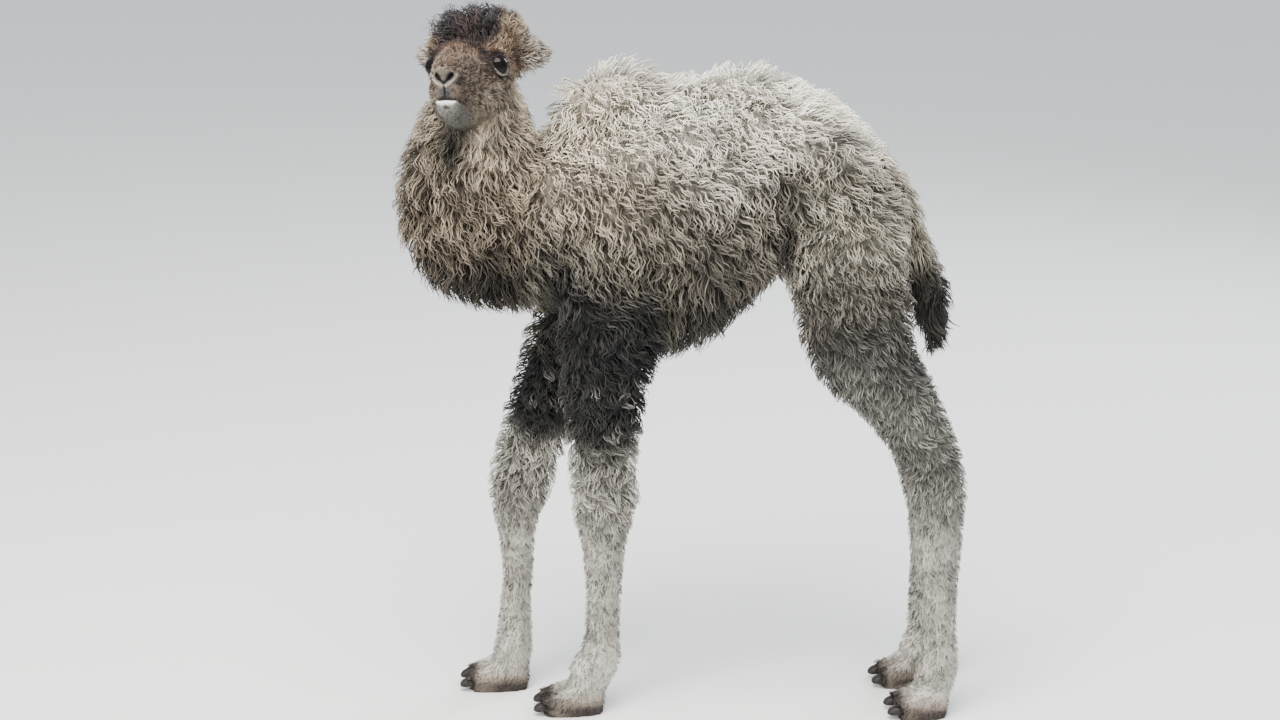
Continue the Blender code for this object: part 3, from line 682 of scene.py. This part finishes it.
# Fine grain shared by hide, lids, nails and coat: a shade about 1, and the fine relief's normal.
grain = bpy.data.node_groups.new("fine_grain", "ShaderNodeTree")
grain.interface.new_socket("Place", in_out="INPUT", socket_type="NodeSocketVector")
for setting in ("Scale", "Contrast", "Relief"):
    grain.interface.new_socket(setting, in_out="INPUT", socket_type="NodeSocketFloat")
grain.interface.new_socket("Shade", in_out="OUTPUT", socket_type="NodeSocketFloat")
grain.interface.new_socket("Normal", in_out="OUTPUT", socket_type="NodeSocketVector")
grain_in = grain.nodes.new("NodeGroupInput")
grain_out = grain.nodes.new("NodeGroupOutput")
grain_noise = grain.nodes.new("ShaderNodeTexNoise")
grain_noise.inputs["Detail"].default_value = 4.0
grain_middle = grain.nodes.new("ShaderNodeMath")
grain_middle.operation = "SUBTRACT"
grain_middle.inputs[1].default_value = 0.5
grain_shade = grain.nodes.new("ShaderNodeMath")
grain_shade.operation = "MULTIPLY_ADD"
grain_shade.inputs[2].default_value = 1.0
grain_bump = grain.nodes.new("ShaderNodeBump")
grain_bump.inputs["Strength"].default_value = 0.5
for giving, taking in (
    (grain_in.outputs["Place"], grain_noise.inputs["Vector"]),
    (grain_in.outputs["Scale"], grain_noise.inputs["Scale"]),
    (grain_noise.outputs["Fac"], grain_middle.inputs[0]),
    (grain_middle.outputs["Value"], grain_shade.inputs[0]),
    (grain_in.outputs["Contrast"], grain_shade.inputs[1]),
    (grain_shade.outputs["Value"], grain_out.inputs["Shade"]),
    (grain_noise.outputs["Fac"], grain_bump.inputs["Height"]),
    (grain_in.outputs["Relief"], grain_bump.inputs["Distance"]),
    (grain_bump.outputs["Normal"], grain_out.inputs["Normal"]),
):
    grain.links.new(giving, taking)


def toned_paint(name, rough, scale, contrast, relief, strand=False):
    """A material coloured by its piece's own tone, with the fine grain over it."""
    paint = bpy.data.materials.new(name)
    paint.use_nodes = True
    tree = paint.node_tree
    shader = tree.nodes["Principled BSDF"]
    shader.inputs["Roughness"].default_value = rough
    shader.inputs["Specular IOR Level"].default_value = 0.3
    tone = tree.nodes.new("ShaderNodeAttribute")
    tone.attribute_name = "tone"
    fine = tree.nodes.new("ShaderNodeGroup")
    fine.node_tree = grain
    fine.inputs["Scale"].default_value = scale
    fine.inputs["Contrast"].default_value = contrast
    fine.inputs["Relief"].default_value = relief
    if strand:
        along_strand = tree.nodes.new("ShaderNodeAttribute")
        along_strand.attribute_name = "strand"
        tree.links.new(along_strand.outputs["Vector"], fine.inputs["Place"])
    else:
        place = tree.nodes.new("ShaderNodeTexCoord")
        tree.links.new(place.outputs["Object"], fine.inputs["Place"])
    shaded = tree.nodes.new("ShaderNodeVectorMath")
    shaded.operation = "SCALE"
    tree.links.new(tone.outputs["Color"], shaded.inputs[0])
    tree.links.new(fine.outputs["Shade"], shaded.inputs["Scale"])
    tree.links.new(shaded.outputs["Vector"], shader.inputs["Base Color"])
    tree.links.new(fine.outputs["Normal"], shader.inputs["Normal"])
    return paint


skin.materials.append(toned_paint("hide", rough=0.62, scale=420.0, contrast=1.1, relief=0.0008))

# Eyes ---------------------------------------------------------------------------------------------
# Each eye is a dark wet ball with a bulging cornea, held by thick lids: a closed ring whose inner
# edge follows an almond opening and whose outer edge sinks into the face.
CORNEA_REACH = math.radians(40)
CORNEA_RISE = 0.0012
PUPIL_REACH = math.radians(14)
PUPIL_STRETCH = 0.18
IRIS_REACH = math.radians(38)
IRIS_BROWN = (0.0030, 0.0020, 0.0016)
PUPIL = (0.0010, 0.0010, 0.0012)
EYE_WHITE = (0.0050, 0.0036, 0.0030)
LID_DARK = (0.016, 0.012, 0.011)
LID_PALE = (0.23, 0.200, 0.172)
LID_SEGMENTS = 56
# Rings of the lid from its edge outwards and back: degrees past the opening, and rise off the ball.
LID_STATIONS = (
    (0, -0.0004), (1, 0.0009), (4, 0.0016), (8, 0.0018), (13, 0.0014), (20, -0.0018), (20, -0.0080),
    (0, -0.0050),
)

eye_paint = bpy.data.materials.new("eye_wet")
eye_paint.use_nodes = True
eye_tree = eye_paint.node_tree
eye_shader = eye_tree.nodes["Principled BSDF"]
eye_shader.inputs["Roughness"].default_value = 0.06
eye_shader.inputs["Specular IOR Level"].default_value = 0.12
iris = eye_tree.nodes.new("ShaderNodeAttribute")
iris.attribute_name = "tone"
eye_tree.links.new(iris.outputs["Color"], eye_shader.inputs["Base Color"])
lid_paint = toned_paint("lid", rough=0.45, scale=600.0, contrast=0.5, relief=0.0005)

for side_name in ("left", "right"):
    middle, axis, forward, rise = eye_frame(side_name)
    ball_shape = bmesh.new()
    bmesh.ops.create_uvsphere(ball_shape, u_segments=48, v_segments=32, radius=EYE_RADIUS)
    turn = Matrix(np.array([forward, rise, axis]).T.tolist()).to_4x4()
    colours = []
    for vertex in ball_shape.verts:
        off = vertex.co.angle(Vector((0, 0, 1)))
        swell = max(0.0, 1 - (off / CORNEA_REACH) ** 2)
        vertex.co *= 1 + CORNEA_RISE / EYE_RADIUS * swell
        pupil = off < PUPIL_REACH + PUPIL_STRETCH * abs(vertex.co.x) / EYE_RADIUS
        colours.append(PUPIL if pupil else IRIS_BROWN if off < IRIS_REACH else EYE_WHITE)
    bmesh.ops.transform(ball_shape, matrix=Matrix.Translation(middle) @ turn, verts=ball_shape.verts)
    bmesh.ops.recalc_face_normals(ball_shape, faces=ball_shape.faces)
    ball = mesh_of("eyeball_" + side_name, ball_shape)
    store_tone(ball, colours)
    ball.shade_smooth()
    ball.materials.append(eye_paint)
    eyeball = put_in_scene("eyeball_" + side_name, ball)
    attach(eyeball, "root")
    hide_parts("eye_" + side_name)

    lid_shape = bmesh.new()
    bmesh.ops.create_circle(lid_shape, segments=LID_SEGMENTS, radius=1)
    bearings = [math.atan2(vertex.co.y, vertex.co.x) for vertex in lid_shape.verts]
    rings = [lid_shape.verts[:]]
    for _ in LID_STATIONS[1:]:
        lid_shape.verts.ensure_lookup_table()
        rim = [edge for edge in lid_shape.edges if all(vertex in rings[-1] for vertex in edge.verts)]
        grown = bmesh.ops.extrude_edge_only(lid_shape, edges=rim)["geom"]
        fresh = [item for item in grown if isinstance(item, bmesh.types.BMVert)]
        fresh.sort(key=lambda vertex: bearings.index(min(
            bearings, key=lambda bearing: abs(bearing - math.atan2(vertex.co.y, vertex.co.x)))))
        rings.append(fresh)
    ends = [edge for edge in lid_shape.edges for ring in (rings[0], rings[-1])
            if all(vertex in ring for vertex in edge.verts)]
    bmesh.ops.bridge_loops(lid_shape, edges=ends)
    lid_colours = {}
    for (spread_by, lift), ring in zip(LID_STATIONS, rings):
        for bearing, vertex in zip(bearings, ring):
            polar = math.radians(float(opening(bearing)) + spread_by)
            reach = EYE_RADIUS + lift
            place = (math.sin(polar) * (math.cos(bearing) * forward + math.sin(bearing) * rise)
                     + math.cos(polar) * axis) * reach + middle
            vertex.co = Vector(place)
            pale = max(0.0, -math.sin(bearing - 0.25)) ** 0.6 if spread_by > 3 else 0.0
            lid_colours[vertex] = np.array(LID_DARK) * (1 - pale) + np.array(LID_PALE) * pale
    bmesh.ops.recalc_face_normals(lid_shape, faces=lid_shape.faces)
    colours = [lid_colours[vertex] for vertex in lid_shape.verts]
    lid_mesh = mesh_of("lids_" + side_name, lid_shape)
    store_tone(lid_mesh, colours)
    lid_mesh.shade_smooth()
    lid_mesh.materials.append(lid_paint)
    lids = put_in_scene("lids_" + side_name, lid_mesh)
    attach(lids, "root")

# Nails --------------------------------------------------------------------------------------------
# Two short dark horn nails on each foot, one to a toe. Each is a flattened ball, squarish and drawn
# to a blunt point, half sunk in the tip of its toe.
NAIL_HORN = (0.014, 0.011, 0.010)
NAIL_ROUNDNESS = 0.85
NAIL_SLOPE = 0.16
NAIL_TAPER = 0.08
NAIL_BELLY = 0.4
nail_paint = toned_paint("nail_horn", rough=0.55, scale=260.0, contrast=2.0, relief=0.0006)

for name in [name for name in nodes if "nail" in name]:
    nail_low, nail_high = (Vector(corner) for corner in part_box(name))
    half = (nail_high - nail_low) / 2
    nail_shape = bmesh.new()
    bmesh.ops.create_uvsphere(nail_shape, u_segments=20, v_segments=14, radius=1)
    for vertex in nail_shape.verts:
        along_nail, across_nail, above_nail = (
            math.copysign(abs(share) ** NAIL_ROUNDNESS, share) for share in vertex.co)
        slope = 1 - NAIL_SLOPE + NAIL_SLOPE * along_nail
        rise = (above_nail + 1) * slope if above_nail > 0 else above_nail * NAIL_BELLY + slope
        vertex.co.x = along_nail * half.x
        vertex.co.y = across_nail * half.y * (1 - NAIL_TAPER + NAIL_TAPER * along_nail)
        vertex.co.z = half.z * (rise - 1)
    bmesh.ops.translate(nail_shape, verts=nail_shape.verts, vec=(nail_low + nail_high) / 2)
    nail_mesh = mesh_of("horn_" + name, nail_shape)
    store_tone(nail_mesh, [NAIL_HORN] * len(nail_mesh.vertices))
    nail_mesh.shade_smooth()
    nail_mesh.materials.append(nail_paint)
    nail = put_in_scene("horn_" + name, nail_mesh)
    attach(nail, "root")
    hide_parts(name)

# Coat ---------------------------------------------------------------------------------------------
# Locks of wool and fur, each a closed three-sided taper bent along its own wavy line. A lock is
# rooted in the skin, lies the way its stretch of coat runs, and leans to its neighbours at the tip.
skin.calc_loop_triangles()
corner_ids = read_all(skin.loop_triangles, "vertices", 3, np.int64)
triangle_areas = read_all(skin.loop_triangles, "area", 1)[:, 0]
unwrap = read_all(skin.uv_layers.active.data, "uv", 2)
corner_uvs = unwrap[read_all(skin.loop_triangles, "loops", 3, np.int64)]
hide_fields = np.concatenate([spots, normals_of(skin), coat, tint, underside[:, None]], axis=1)
SPOT, NORMAL, COAT_ROW, COLOUR, HANG = slice(0, 3), slice(3, 6), slice(6, 15), slice(15, 18), 18
root_spots = KDTree(len(spots))
for number, spot in enumerate(spots):
    root_spots.insert(spot, number)
root_spots.balance()


def sprout(share, seed):
    """Roots spread evenly over the skin, by share and by the coat's density: their fields and UVs."""
    picks = np.random.default_rng(seed)
    weight = triangle_areas * (share * coat[:, DENSITY])[corner_ids].mean(axis=1)
    heap = np.cumsum(weight)
    marks = np.arange(int(heap[-1])) + picks.random(int(heap[-1]))
    chosen = np.minimum(np.searchsorted(heap, marks), len(heap) - 1)
    mix = picks.dirichlet((1, 1, 1), len(chosen))
    fields = np.einsum("nk,nkf->nf", mix, hide_fields[corner_ids[chosen]])
    return fields, np.einsum("nk,nkf->nf", mix, corner_uvs[chosen])


def lock_pattern(steps):
    """One straight lock of that many steps: each vertex as (x, y, step), and its triangles."""
    shape = bmesh.new()
    bmesh.ops.create_circle(shape, cap_ends=True, segments=3, radius=1)
    bmesh.ops.reverse_faces(shape, faces=shape.faces[:])
    rim = shape.edges[:]
    for _ in range(steps):
        rim = bmesh.ops.extrude_edge_only(shape, edges=rim)["geom"]
        top = [item for item in rim if isinstance(item, bmesh.types.BMVert)]
        bmesh.ops.translate(shape, verts=top, vec=(0, 0, 1))
        rim = [item for item in rim if isinstance(item, bmesh.types.BMEdge)]
    bmesh.ops.pointmerge(shape, verts=top, merge_co=(0, 0, steps))
    bmesh.ops.triangulate(shape, faces=shape.faces[:])
    bmesh.ops.recalc_face_normals(shape, faces=shape.faces[:])
    shape.verts.index_update()
    knots = np.array([vertex.co for vertex in shape.verts])
    faces = np.array([[vertex.index for vertex in face.verts] for face in shape.faces])
    shape.free()
    return knots, faces


# One paint for each finish of the coat, with its grain stretched along the lock.
COAT_ROUGHNESS = {
    "grey_wool": 0.85, "brown_wool": 0.85, "dark_wool": 0.70, "pale_fur": 0.85, "face_fur": 0.80,
}
coat_paints = {
    finish: toned_paint(finish, rough, scale=3.0, contrast=1.5, relief=0.001, strand=True)
    for finish, rough in COAT_ROUGHNESS.items()
}
GRAIN_STEP = 0.35
GRAIN_SHIFT = 0.731

# Each lock has a small patch of its own on the bake map, at its root's place on the hide's unwrap.
PATCH = 0.003
LOWEST = 0.002


def weave(name, lines, widths, flat, sideways, tones, roots_uv, slot):
    """Joins a lock along each centre line into one piece, with its tones and its bake map."""
    count, stations, _ = lines.shape
    knots, faces = lock_pattern(stations - 1)
    station = knots[:, 2].round().astype(int)
    way = unit(np.gradient(lines, axis=1))
    across = unit(sideways[:, None] - way * np.sum(sideways[:, None] * way, axis=2, keepdims=True))
    upward = np.cross(way, across)
    size = widths[:, station, None]
    lines[:, :, 2] = np.maximum(lines[:, :, 2], LOWEST)
    shape = (lines[:, station] + across[:, station] * knots[:, 0, None] * size
             + upward[:, station] * knots[:, 1, None] * size * flat)
    offsets = np.arange(count)[:, None, None] * len(knots)
    corners = (faces + offsets).ravel()
    mesh = bpy.data.meshes.new(name)
    mesh.vertices.add(count * len(knots))
    mesh.vertices.foreach_set("co", shape.ravel())
    mesh.loops.add(len(corners))
    mesh.loops.foreach_set("vertex_index", corners)
    mesh.polygons.add(len(corners) // 3)
    mesh.polygons.foreach_set("loop_start", np.arange(0, len(corners), 3))
    mesh.update(calc_edges=True)
    store_tone(mesh, tones[:, station])
    strand = mesh.attributes.new("strand", "FLOAT_VECTOR", "POINT")
    turns = np.arctan2(knots[:, 1], knots[:, 0])
    shift = np.arange(count)[:, None] * GRAIN_SHIFT
    paths = np.stack([turns + shift, np.broadcast_to(station * GRAIN_STEP, (count, len(knots))),
                      np.broadcast_to(shift, (count, len(knots)))], axis=2)
    strand.data.foreach_set("vector", paths.ravel())
    bake = mesh.uv_layers.new(name="OFBake")
    place = np.stack([station / (stations - 1) - 0.5, knots[:, 0] * 0.5], axis=1) * PATCH
    patches = np.clip(roots_uv[:, None], 2 * PATCH, 1 - 2 * PATCH) + place
    bake.data.foreach_set("uv", patches.reshape(-1, 2)[corners].ravel())
    mesh.shade_smooth()
    mesh.materials.append(coat_paints[slot])
    piece = put_in_scene(name, mesh)
    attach(piece, "root")


# A lock starts a little under the hide, strays in swirls, arches over and hangs where the hide faces
# down. Its length, rise and width vary. One in seven leads its neighbours.
ROOTED = 0.002
SWIRL = 0.55
STRAY = 0.22
LENGTHS = (0.72, 1.12)
RISES = (0.6, 1.25)
WIDTHS = (0.7, 1.2)
ARCH = 0.62 * math.pi
HANGING = 0.35
FLATNESS = 0.55
GATHERED = 7
# Painted shade at a lock's root, and the painted light it gains towards the tip.
ROOT_PAINTED_SHADE = 0.28
TIP_PAINTED_LIGHT = 0.87
TAPER = (0.55, 1.0, 0.95, 0.75, 0.40, 0.0)
# Tone of the painted highlights on some lock tips.
GLINT_TONE = np.array((0.240, 0.225, 0.205))


def grow(name, share, slot, seed, steps=6, clump=0.7, pieces=1, waves=1.2, contrast=1.0, glint=0.0):
    """Grows one stretch of coat where share is 1: clump draws the tips together, glint paints pale highlights
    on some tips.
    """
    picks = np.random.default_rng(seed)
    fields, uvs = sprout(share, seed)
    count = len(fields)
    root, out = fields[:, SPOT], unit(fields[:, NORMAL])
    depth, length, width, wave, stand = fields[:, COAT_ROW][:, LOCK_SIZES].T
    lie = fields[:, COAT_ROW][:, LIE]
    lie = unit(lie - out * np.sum(lie * out, axis=1, keepdims=True))
    aside = np.cross(out, lie)
    angle = SWIRL * (mottle(root, 0.05, 21) + 0.5 * mottle(root, 0.015, 22)) + picks.normal(0, STRAY, count)
    lie = lie * np.cos(angle)[:, None] + aside * np.sin(angle)[:, None]
    aside = np.cross(out, lie)

    # The centre line: it runs out along the lie, rises off the skin, waves both ways and hangs.
    t = np.linspace(0, 1, steps + 1)
    length = length * picks.uniform(*LENGTHS, count)
    rise = depth * stand * picks.uniform(*RISES, count)
    phase = picks.uniform(0, 2 * math.pi, count) * 0.25 + 2.4 * mottle(root, 0.03, 23)
    turn = 2 * math.pi * waves * t[None] * picks.uniform(0.8, 1.2, count)[:, None] + phase[:, None]
    swing = wave[:, None] * (t[None] ** 0.6)
    lines = (root - out * ROOTED)[:, None] + lie[:, None] * (length[:, None] * t)[:, :, None]
    lines = lines + out[:, None] * ((rise + ROOTED)[:, None] * np.sin(ARCH * t))[:, :, None]
    lines = lines + aside[:, None] * (swing * np.sin(turn))[:, :, None]
    lines = lines + out[:, None] * (swing * 0.6 * (np.cos(turn) - np.cos(phase)[:, None]))[:, :, None]
    lines[:, :, 2] -= (fields[:, HANG] * length * HANGING)[:, None] * t ** 2

    # One lock in seven leads: the others near it bend to its tip and share its shade.
    guides = picks.permutation(count)[:max(1, count // GATHERED)]
    guide_tree = KDTree(len(guides))
    for number, guide in enumerate(guides):
        guide_tree.insert(root[guide], number)
    guide_tree.balance()
    leader = guides[[guide_tree.find(spot)[1] for spot in root]]
    pull = (clump * picks.uniform(0.5, 1.0, count))[:, None] * t ** 1.3
    leading = lines[leader] + picks.normal(0, 0.0012, (count, 1, 3)) * t[None, :, None]
    lines = lines * (1 - pull[:, :, None]) + leading * pull[:, :, None]
    shade_key = picks.random(count)[leader]
    shape = np.interp(t, np.linspace(0, 1, len(TAPER)), TAPER)
    widths = width[:, None] * shape * picks.uniform(*WIDTHS, count)[:, None]

    # Painted shade and light: dark at the root, lighter to the tip, paler where it stands proud, and shaded
    # less on pale wool than on dark. The tip takes the colour of the hide it lies over.
    shade = 0.89 + contrast * (0.62 * shade_key - 0.31 + picks.normal(0, 0.13, count))
    shade = np.clip(shade, 0.3, 1.6)[:, None] * (ROOT_PAINTED_SHADE + TIP_PAINTED_LIGHT * t ** 0.8)
    shade = shade * (0.40 + 0.58 * (rise / np.maximum(depth * stand, 1e-6)))[:, None]
    shade = shade ** (1.15 - 0.5 * fields[:, COLOUR].mean(axis=1))[:, None]
    ends = root + lie * (0.7 * length)[:, None] + out * rise[:, None]
    far_colour = hide_fields[[root_spots.find(spot)[1] for spot in ends], COLOUR]
    colours = fields[:, None, COLOUR] * (1 - t[None, :, None]) + far_colour[:, None] * t[None, :, None]
    tones = colours * shade[:, :, None]
    # Painted highlights: the tips of the clumps picked by glint are made paler.
    tones += GLINT_TONE * ((shade_key > 1 - glint)[:, None] * t ** 2)[:, :, None]
    order = np.argsort(root[:, 0] + root[:, 2] * 0.3)
    for number, part in enumerate(np.array_split(order, pieces)):
        part_name = name if pieces == 1 else f"{name}_{number + 1}"
        weave(part_name, lines[part], widths[part], FLATNESS, aside[part], np.clip(tones[part], 0, 1),
              uvs[part], slot)


grow("wool_trunk", share_of("trunk"), "grey_wool", 101, pieces=3, waves=1.8, contrast=1.25)
grow("wool_humps", share_of("hump"), "grey_wool", 102, waves=1.7, contrast=1.15)
grow("wool_neck", share_of("neck"), "brown_wool", 103, pieces=2, waves=1.8, contrast=1.7)
grow("wool_foreleg", share_of("foreleg_upper"), "dark_wool", 104, waves=1.4, clump=0.85, glint=0.11)
grow("wool_hindleg", share_of("hindleg_upper"), "grey_wool", 105, pieces=2, steps=5)
grow("tail_hair", share_of("tail"), "dark_wool", 106)
grow("fur_shins", share_of("_lower") * (1 - share_of("neck")), "pale_fur", 107, steps=3, clump=0.5,
     waves=0.6, contrast=1.8)
grow("fur_feet", share_of("foot"), "pale_fur", 108, steps=2, clump=0.3, waves=0.5)
jaw_fur = on_head * share_of("lower_jaw")
grow("fur_face", on_head * (1 - crown) * (1 - cheek) * (1 - jaw_fur), "face_fur", 109, steps=3,
     clump=0.4, waves=0.5, contrast=3.2, pieces=2)
grow("fur_jaw", jaw_fur * (1 - cheek), "face_fur", 113, steps=3, clump=0.4, waves=0.5)
grow("fur_cheeks", on_head * cheek, "face_fur", 110, steps=4, waves=0.8, contrast=3.0)
grow("curls_crown", on_head * crown, "dark_wool", 111, steps=8, clump=0.85, waves=2.0)
grow("fur_ears", share_of("ear_"), "face_fur", 112, steps=4, clump=0.5, waves=0.6)

# Lashes -------------------------------------------------------------------------------------------
# Some two dozen stiff dark lashes on each upper lid, made like the coat's locks, rooted in the lid
# and curled upwards.
LASHES = 26
LASH_LENGTHS = (0.008, 0.013)
LASH_FLATNESS = 0.8
LASH_LIFT = 0.0010
LASH_TONE = (0.020, 0.016, 0.015)
LASH_WIDTHS = 0.00055 * np.array([1.0, 0.9, 0.7, 0.45, 0.0])
out_along = np.linspace(0, 1, len(LASH_WIDTHS))[None, :, None]
for side_name in ("left", "right"):
    picks = np.random.default_rng(120)
    middle, axis, forward, rise = eye_frame(side_name)
    bearing = np.radians(np.linspace(8, 172, LASHES)) + picks.normal(0, 0.04, LASHES)
    polar = np.radians(opening(bearing) + 3)
    radial = np.cos(bearing)[:, None] * forward + np.sin(bearing)[:, None] * rise
    way = np.sin(polar)[:, None] * radial + np.cos(polar)[:, None] * axis
    root = middle + way * (EYE_RADIUS + LASH_LIFT)
    long = picks.uniform(*LASH_LENGTHS, LASHES)[:, None, None]
    out_by = (0.75 * axis + 0.55 * radial)[:, None] * long * out_along
    curl = (0.45 * rise - 0.25 * axis)[None, None] * long * out_along ** 2
    weave("lashes_" + side_name, root[:, None] + out_by + curl, LASH_WIDTHS * np.ones((LASHES, 1)),
          LASH_FLATNESS, np.cross(radial, axis), np.tile(LASH_TONE, (LASHES, len(LASH_WIDTHS), 1)),
          np.full((LASHES, 2), 0.5), "face_fur")
